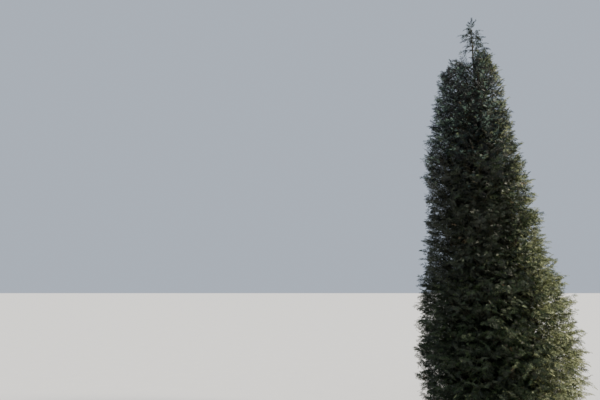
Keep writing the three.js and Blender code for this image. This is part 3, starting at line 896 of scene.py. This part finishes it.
def spray_corners(sprays, kind):
    """Corners of sprays of one kind, as sprays by corners by three."""
    templates = np.stack([spray_template(variant, **LEAVES[kind]) for variant in range(TEMPLATES)])
    shape = templates[np.arange(len(sprays["length"])) % TEMPLATES]
    normal = np.cross(sprays["ahead"], sprays["side"])
    corners = (
        shape[..., 0:1] * sprays["ahead"][:, None] + shape[..., 1:2] * sprays["side"][:, None]
        + shape[..., 2:3] * normal[:, None]
    )
    drop = (sprays["droop"][:, None] * shape[..., 0] ** 2)[..., None] * UP
    return sprays["root"][:, None] + sprays["length"][:, None, None] * (corners - drop)


def spray_arrays(sprays):
    """Corners of all the sprays that keep within the crown's reach, and the shade of each of their faces."""
    lowest, highest = crown_box()
    corners, shades = [], []
    for kind in range(len(LEAVES)):
        chosen = sprays["kind"] == kind
        if chosen.any():
            shape = spray_corners({key: value[chosen] for key, value in sprays.items()}, kind)
            clear = ((shape > lowest) & (shape < highest)).all(axis=(1, 2))
            corners.append(shape[clear].reshape(-1, 3))
            shades.append(np.repeat(sprays["shade"][chosen][clear], shape.shape[1] // 4))
    return np.concatenate(corners), np.concatenate(shades)


def mesh_object(name, corners, faces, uvs=None, shades=None):
    """A mesh object at the origin from corners in millimetres and faces of four corners each.

    Bark has UVs and is smooth. Leaves have a shade for each face and are flat.
    """
    mesh = bpy.data.meshes.new(name)
    mesh.vertices.add(len(corners))
    mesh.vertices.foreach_set("co", (corners * METRES).astype(np.float32).ravel())
    mesh.loops.add(faces.size)
    mesh.loops.foreach_set("vertex_index", faces.astype(np.int32).ravel())
    mesh.polygons.add(len(faces))
    mesh.polygons.foreach_set("loop_start", np.arange(len(faces), dtype=np.int32) * 4)
    if uvs is not None:
        layer = mesh.uv_layers.new(name="bark")
        layer.data.foreach_set("uv", uvs.astype(np.float32).ravel())
    if shades is not None:
        mesh.polygons.foreach_set("material_index", shades.astype(np.int32))
    mesh.update(calc_edges=True)
    mesh.polygons.foreach_set("use_smooth", np.full(len(faces), uvs is not None))
    made = bpy.data.objects.new(name, mesh)
    bpy.context.scene.collection.objects.link(made)
    return made


# Materials


def add_node(tree, kind, inputs=None, **settings):
    """Adds a node with its settings. An input's value is a number, a colour or another node's output."""
    node = tree.nodes.new(kind)
    for key, value in settings.items():
        setattr(node, key, value)
    for key, value in (inputs or {}).items():
        if isinstance(value, bpy.types.NodeSocket):
            tree.links.new(value, node.inputs[key])
        else:
            node.inputs[key].default_value = value
    return node


def new_material(name):
    """An empty node material and its tree."""
    material = bpy.data.materials.new(name)
    material.use_nodes = True
    material.node_tree.nodes.clear()
    return material, material.node_tree


def finish_material(tree, colour, roughness, bump, **values):
    """Ends a tree in its shader, with the colour, roughness and relief of the surface."""
    shader = add_node(tree, "ShaderNodeBsdfPrincipled", {
        "Base Color": colour, "Roughness": roughness, "Normal": bump, **values,
    })
    add_node(tree, "ShaderNodeOutputMaterial", {"Surface": shader.outputs["BSDF"]})


def scale_leaf_material(name, dark, light):
    """Living scale leaves in flat sprays: waxy, in patches of darker and lighter leaves, finely scaly.

    The scales are drawn 6 mm long, about twice as coarse as life, so that they show.
    """
    material, tree = new_material(name)
    place = add_node(tree, "ShaderNodeTexCoord").outputs["Object"]
    patches = add_node(tree, "ShaderNodeTexNoise", {"Vector": place, "Scale": 1 / LEAF_PATCH, "Detail": 2.0})
    share = add_node(tree, "ShaderNodeMapRange", {
        "Value": patches.outputs["Fac"], "From Min": LEAF_NOISE[0], "From Max": LEAF_NOISE[1],
    })
    colour = add_node(tree, "ShaderNodeMix", {
        "Factor": share.outputs["Result"], "A": linear(dark), "B": linear(light),
    }, data_type="RGBA")
    scales = add_node(tree, "ShaderNodeTexVoronoi", {"Vector": place, "Scale": 1 / LEAF_SCALE})
    bump = add_node(tree, "ShaderNodeBump", {
        "Height": scales.outputs["Distance"], "Strength": 0.5, "Distance": 0.001,
    })
    finish_material(tree, colour.outputs["Result"], LEAF_ROUGHNESS, bump.outputs["Normal"], IOR=1.45)
    return material


def bark_material(name, strip_width):
    """Thin fibrous bark that peels in narrow strips: matt, dark in the furrows, weathered outside."""
    if name in bpy.data.materials:
        return bpy.data.materials[name]
    furrow, strip, weathered = BARKS[name]
    material, tree = new_material(name)
    place = add_node(tree, "ShaderNodeUVMap", uv_map="bark").outputs["UV"]
    along = add_node(tree, "ShaderNodeMapping", {"Vector": place, "Scale": (1.0, STRIP_STRETCH, 1.0)})
    fibres = add_node(tree, "ShaderNodeTexNoise", {
        "Vector": along.outputs["Vector"], "Scale": 1 / strip_width, "Detail": 5.0, "Roughness": 0.6,
    })
    ramp = add_node(tree, "ShaderNodeValToRGB", {"Fac": fibres.outputs["Fac"]})
    stops = ramp.color_ramp.elements
    for stop, position, shade in zip(stops, (FURROW, STRIP), (furrow, strip)):
        stop.position = position
        stop.color = linear(shade)
    patches = add_node(tree, "ShaderNodeTexNoise", {"Vector": place, "Scale": 1 / BARK_PATCH, "Detail": 3.0})
    colour = add_node(tree, "ShaderNodeMix", {
        "Factor": patches.outputs["Fac"], "A": ramp.outputs["Color"], "B": linear(weathered),
    }, data_type="RGBA")
    bump = add_node(tree, "ShaderNodeBump", {
        "Height": fibres.outputs["Fac"], "Strength": 0.8, "Distance": 0.002,
    })
    finish_material(tree, colour.outputs["Result"], BARK_ROUGHNESS, bump.outputs["Normal"])
    return material


def foliage_materials():
    """The shades of scale leaf, in the order in which sprays name them."""
    colours = bpy.context.scene.arborvitae_colours
    found = []
    for shade in SHADES:
        name = f"scale_leaf_{shade}"
        made = bpy.data.materials.get(name)
        found.append(made or scale_leaf_material(name, *getattr(colours, shade).split()))
    return found


def paint_material():
    """Matt pale paint of the floor, with a faint mottle."""
    material, tree = new_material("pale_paint")
    place = add_node(tree, "ShaderNodeTexCoord").outputs["Object"]
    mottle = add_node(tree, "ShaderNodeTexNoise", {"Vector": place, "Scale": MOTTLES_PER_METRE})
    colour = add_node(tree, "ShaderNodeMix", {
        "Factor": mottle.outputs["Fac"], "A": linear(PAINT[0]), "B": linear(PAINT[1]),
    }, data_type="RGBA")
    bump = add_node(tree, "ShaderNodeBump", {"Height": mottle.outputs["Fac"], "Strength": 0.02})
    finish_material(tree, colour.outputs["Result"], PAINT_ROUGHNESS, bump.outputs["Normal"])
    return material


# The tree


def all_cells():
    """Level and sector of every mass, from the ground up."""
    return [(level, sector) for level, tier in enumerate(TIERS) for sector in range(tier["sectors"])]


def node_name(kind, level, sector):
    """A node's name, whose tiers and sectors count from one."""
    return f"{kind}_{level + 1}_{sector + 1}"


def leader_nodes():
    """The nodes of the leader's shoots and tip."""
    return [f"leader_shoot_{order + 1}" for order in range(len(LEADER_SHOOTS))] + ["leader_tip"]


def grown():
    """The whole growth, worked out once."""
    if not grown.masses:
        grown.masses.update({cell: grow_mass(*cell) for cell in all_cells()})
    return grown.masses


grown.masses = {}


def finish_piece(piece, nodes):
    """Every piece rides on the tree's one body and stands for its nodes."""
    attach(piece, "root")
    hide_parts(*nodes)


def shape_trunk(trunk, settings):
    """Gives each ring its radius and the relief of the bark, and unrolls the bark as UVs."""
    mesh = trunk.data
    for vertex in mesh.vertices:
        height = min(max(vertex.co.z / METRES, 0), TRUNK_TOP)
        centre = trunk_centre(height)
        azimuth = math.atan2(vertex.co.y - centre[1] * METRES, vertex.co.x - centre[0] * METRES)
        radius = trunk_radius(height, azimuth) * METRES
        around = Vector((math.cos(azimuth), math.sin(azimuth))) * radius / settings.strip_width
        strips = noise.noise(Vector((around.x, around.y, height / STRIP_LENGTH)))
        fibres = noise.noise(Vector((
            around.x * FIBRES_PER_STRIP, around.y * FIBRES_PER_STRIP, height / FIBRE_LENGTH + FIBRE_SHIFT)))
        depth = settings.relief * min(1, radius / FULL_RELIEF_RADIUS)
        depth *= STRIP_DEPTH + STRIP_DEPTH * strips + FIBRE_DEPTH * fibres
        vertex.co.x = centre[0] * METRES + (radius - depth) * math.cos(azimuth)
        vertex.co.y = centre[1] * METRES + (radius - depth) * math.sin(azimuth)
        vertex.co.z = height * METRES
    layer = mesh.uv_layers.get("bark") or mesh.uv_layers.new(name="bark")
    for polygon in mesh.polygons:
        turn = math.atan2(polygon.center.y, polygon.center.x)
        for index in polygon.loop_indices:
            corner = mesh.vertices[mesh.loops[index].vertex_index].co
            centre = trunk_centre(corner.z / METRES) * METRES
            azimuth = math.atan2(corner.y - centre[1], corner.x - centre[0])
            if azimuth - turn > math.pi:
                azimuth -= 2 * math.pi
            if turn - azimuth > math.pi:
                azimuth += 2 * math.pi
            layer.data[index].uv = (azimuth * TRUNK_RADIUS * METRES, corner.z)
    for polygon in mesh.polygons:
        polygon.use_smooth = abs(polygon.normal.z) < FLAT_END


class TrunkSettings(bpy.types.PropertyGroup):
    """Sizes of the trunk's bark."""

    strip_width: bpy.props.FloatProperty(
        name="Strip width", description="Width of a strip of bark", default=0.007, unit="LENGTH")
    relief: bpy.props.FloatProperty(
        name="Relief", description="Depth of the furrows between strips", default=0.002, unit="LENGTH")


class FoliageSettings(bpy.types.PropertyGroup):
    """Sizes of the foliage."""

    spacing: bpy.props.FloatProperty(
        name="Spacing", description="Plume spacing against the usual one", default=1.0)
    clump: bpy.props.FloatProperty(
        name="Clump size", description="Reach of a clump of plumes in millimetres", default=170)
    relief: bpy.props.FloatProperty(
        name="Clump relief", description="How far the crown sinks between clumps, as a share of its reach",
        default=0.08)
    rise: bpy.props.FloatProperty(
        name="Rise", description="Rise of the plumes against that of the main sprays", default=0.8)
    droop: bpy.props.FloatProperty(
        name="Droop", description="Share of its length that a plume's tip hangs", default=0.22)
    leaflet_width: bpy.props.FloatProperty(
        name="Leaflet width", description="Width of the leaflets against the usual one", default=1.0)


class ColourSettings(bpy.types.PropertyGroup):
    """Colours of the tree: each shade of leaf has a dark and a light hex value."""

    # Painted shade: inner is dealt to sprays inside the crown and between clumps
    inner: bpy.props.StringProperty(
        name="Inner", description="Shaded leaves inside the crown", default="#1e2319 #292f22")
    # Deep and mid are leaves of differing tone, dealt darker as painted shade inside and away from the sun
    deep: bpy.props.StringProperty(
        name="Deep", description="Old leaves", default="#262e20 #313a28")
    mid: bpy.props.StringProperty(
        name="Mid", description="Full-grown leaves", default="#2a3822 #384828")
    # Light is young leaves at the tips and also painted sunlight on the sunlit flank
    light: bpy.props.StringProperty(
        name="Light", description="This year's leaves", default="#353e2b #808963")
    # Painted sunlight: olive is dealt only on the sunlit flank
    olive: bpy.props.StringProperty(
        name="Olive", description="Sunlit tips", default="#5e6442 #b6bb89")
    bronze: bpy.props.StringProperty(
        name="Bronze", description="Leaves about to drop", default="#564a38 #756748")
    # These four shades are painted: a bluish painted sky reflection and painted shade on the upper crown
    cool_inner: bpy.props.StringProperty(
        name="Cool inner", description="Shaded leaves of the upper crown", default="#090e0e #101716")
    cool_deep: bpy.props.StringProperty(
        name="Cool deep", description="Old leaves of the upper crown", default="#09100f #222f2c")
    cool_mid: bpy.props.StringProperty(
        name="Cool mid", description="Full-grown leaves of the upper crown", default="#101e1b #485e58")
    cool_light: bpy.props.StringProperty(
        name="Cool light", description="This year's leaves of the upper crown", default="#24372c #88a08c")


class StageSettings(bpy.types.PropertyGroup):
    """Strengths of the lights."""

    key: bpy.props.FloatProperty(
        name="Key", description="Strength of the soft light from the right", default=7.2)
    fill: bpy.props.FloatProperty(
        name="Fill", description="Strength of the soft light from the left", default=0.25)
    sky: bpy.props.FloatProperty(
        name="Sky", description="Strength of the light from all round", default=0.74)


class ARBORVITAE_OT_trunk(bpy.types.Operator):
    """Models the trunk with its taper, root flare and stringy bark"""

    bl_idname = "arborvitae.trunk"
    bl_label = "Trunk"

    def execute(self, context):
        bpy.ops.object.select_all(action="DESELECT")
        heights = [TRUNK_TOP * (ring / TRUNK_RINGS) ** RING_POWER for ring in range(TRUNK_RINGS + 1)]
        bpy.ops.mesh.primitive_circle_add(
            vertices=TRUNK_SIDES, radius=trunk_radius(0, 0) * METRES, fill_type="NGON", location=(0, 0, 0))
        trunk = context.object
        trunk.name = trunk.data.name = "trunk_bark"
        bpy.ops.object.mode_set(mode="EDIT")
        bpy.ops.mesh.select_all(action="SELECT")
        for low, high in zip(heights, heights[1:]):
            shift = Vector((trunk_centre(high) - trunk_centre(low)) * METRES)
            bpy.ops.mesh.extrude_region_move(TRANSFORM_OT_translate={"value": shift})
        bpy.ops.mesh.select_all(action="SELECT")
        bpy.ops.mesh.normals_make_consistent(inside=False)
        bpy.ops.object.mode_set(mode="OBJECT")
        settings = context.scene.arborvitae_trunk
        shape_trunk(trunk, settings)
        trunk.data.materials.append(bark_material("stringy_bark", settings.strip_width))
        trunk.data.materials.append(bark_material("young_bark", YOUNG_STRIP))
        for polygon in trunk.data.polygons:
            polygon.material_index = int(polygon.center.z > YOUNG_STEM * METRES)
        finish_piece(trunk, ["trunk"])
        return {"FINISHED"}


class ARBORVITAE_OT_limbs(bpy.types.Operator):
    """Grows the main boughs and the stems that carry them on through the foliage"""

    bl_idname = "arborvitae.limbs"
    bl_label = "Boughs and stems"

    def execute(self, context):
        limbs = [limb for mass in grown().values() for limb in mass[0]]
        curves, root_radii, tip_radii = zip(*limbs)
        boughs = mesh_object("boughs_bark", *tube_arrays(
            curves, root_radii, tip_radii, LIMB_SIDES, LIMB_RINGS, LIMB_RELIEF))
        width = context.scene.arborvitae_trunk.strip_width * THIN_STRIP
        boughs.data.materials.append(bark_material("thin_bark", width))
        nodes = [node_name("bough", *cell) for cell in all_cells() if TIERS[cell[0]]["bough"]]
        finish_piece(boughs, nodes)
        return {"FINISHED"}


class ARBORVITAE_OT_twigs(bpy.types.Operator):
    """Grows the branches and twigs that carry the plumes, and the shoots of the leader"""

    bl_idname = "arborvitae.twigs"
    bl_label = "Twigs"

    def execute(self, context):
        masses = grown().values()
        branches = [curve for mass in masses for curve in mass[1]]
        twigs = [curve for mass in masses for curve in mass[2]]
        plumes = [plume for mass in masses for plume in mass[3]]
        midribs = [midrib_curve(plume) for plume in plumes if plume["layer"]["kind"] == FINE]
        shoots = [shoot[0] for shoot in leader_curves()]
        piece = mesh_object("twigs", *joined([
            tube_arrays(branches, *BRANCH_TUBE), tube_arrays(twigs, *TWIG_TUBE),
            tube_arrays(midribs, *MIDRIB_TUBE), tube_arrays(shoots, *SHOOT_TUBE),
        ]))
        piece.data.materials.append(bark_material("young_bark", YOUNG_STRIP))
        nodes = [node_name("foliage", *cell) for cell in all_cells()] + leader_nodes()
        finish_piece(piece, nodes)
        return {"FINISHED"}


class ARBORVITAE_OT_sprays(bpy.types.Operator):
    """Grows the flat sprays of scale leaves, one piece for each group of masses"""

    bl_idname = "arborvitae.sprays"
    bl_label = "Sprays"

    most_triangles = 190000

    def execute(self, context):
        masses = grown()
        for level, tier in enumerate(TIERS):
            cells = [(level, sector) for sector in range(tier["sectors"])]
            layers = [plume["layer"] for cell in cells for plume in masses[cell][3]]
            count = sum((row["sprays"] + 1) * (LEAVES[row["kind"]]["leaflets"] + 1) * 2 for row in layers)
            groups = math.ceil(count / self.most_triangles)
            size = math.ceil(len(cells) / groups)
            for group in range(groups):
                chosen = cells[group * size:(group + 1) * size]
                sprays = plume_sprays([plume for cell in chosen for plume in masses[cell][3]])
                nodes = [node_name("foliage", *cell) for cell in chosen]
                self.finish(f"sprays_{level + 1}_{group + 1}", sprays, nodes)
        self.finish("sprays_leader", leader_sprays(), leader_nodes())
        return {"FINISHED"}

    def finish(self, name, sprays, nodes):
        """Makes the piece of some sprays, which stands for their nodes."""
        corners, shades = spray_arrays(sprays)
        faces = np.arange(len(corners)).reshape(-1, 4)
        piece = mesh_object(name, corners, faces, shades=shades)
        for material in foliage_materials():
            piece.data.materials.append(material)
        finish_piece(piece, nodes)


class ARBORVITAE_OT_stage(bpy.types.Operator):
    """Sets the pale floor, the soft studio light and the camera"""

    bl_idname = "arborvitae.stage"
    bl_label = "Stage"

    def execute(self, context):
        settings = context.scene.arborvitae_stage
        bpy.ops.object.select_all(action="DESELECT")
        bpy.ops.mesh.primitive_plane_add(size=FLOOR_SIZE, location=(0, 0, 0))
        floor = context.object
        floor.name = floor.data.name = "floor"
        floor.data.materials.append(paint_material())

        world = bpy.data.worlds.new("studio")
        world.use_nodes = True
        background = world.node_tree.nodes["Background"]
        background.inputs["Color"].default_value = linear(SKY_COLOUR)
        background.inputs["Strength"].default_value = settings.sky
        context.scene.world = world

        self.add_light("key", settings.key, **KEY)
        self.add_light("fill", settings.fill, **FILL)

        camera = bpy.data.objects.new("camera", bpy.data.cameras.new("camera"))
        camera.data.lens = LENS
        camera.data.sensor_width = SENSOR
        camera.location = CAMERA_PLACE
        camera.rotation_euler = (math.radians(CAMERA_TILT), 0, 0)
        context.scene.collection.objects.link(camera)
        context.scene.camera = camera
        return {"FINISHED"}

    def add_light(self, name, strength, spread, place, colour):
        """A far lamp whose light comes from a place, softened over a spread of degrees."""
        lamp = bpy.data.lights.new(name, "SUN")
        lamp.energy = strength
        lamp.angle = math.radians(spread)
        lamp.color = linear(colour)[:3]
        made = bpy.data.objects.new(name, lamp)
        made.location = place
        made.rotation_euler = Vector(place).to_track_quat("Z", "Y").to_euler()
        bpy.context.scene.collection.objects.link(made)


OPERATORS = (
    ARBORVITAE_OT_stage, ARBORVITAE_OT_trunk, ARBORVITAE_OT_limbs, ARBORVITAE_OT_twigs, ARBORVITAE_OT_sprays,
)
SETTINGS = dict(
    arborvitae_trunk=TrunkSettings, arborvitae_foliage=FoliageSettings,
    arborvitae_colours=ColourSettings, arborvitae_stage=StageSettings,
)


class ARBORVITAE_PT_panel(bpy.types.Panel):
    """Lists the settings and the pieces in the order in which they are made"""

    bl_label = "Arborvitae"
    bl_idname = "ARBORVITAE_PT_panel"
    bl_space_type = "VIEW_3D"
    bl_region_type = "UI"
    bl_category = "Arborvitae"

    def draw(self, context):
        for name, group in SETTINGS.items():
            box = self.layout.box()
            for key in group.__annotations__:
                box.prop(getattr(context.scene, name), key)
        for operator in OPERATORS:
            self.layout.operator(operator.bl_idname)


def register():
    for item in (*SETTINGS.values(), *OPERATORS, ARBORVITAE_PT_panel):
        bpy.utils.register_class(item)
    for name, group in SETTINGS.items():
        setattr(bpy.types.Scene, name, bpy.props.PointerProperty(type=group))


def unregister():
    for name in SETTINGS:
        delattr(bpy.types.Scene, name)
    for item in (ARBORVITAE_PT_panel, *reversed(OPERATORS), *reversed(SETTINGS.values())):
        bpy.utils.unregister_class(item)


def main():
    register()
    for operator in OPERATORS:
        group, name = operator.bl_idname.split(".")
        getattr(getattr(bpy.ops, group), name)()
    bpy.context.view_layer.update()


if __name__ == "__main__":
    main()
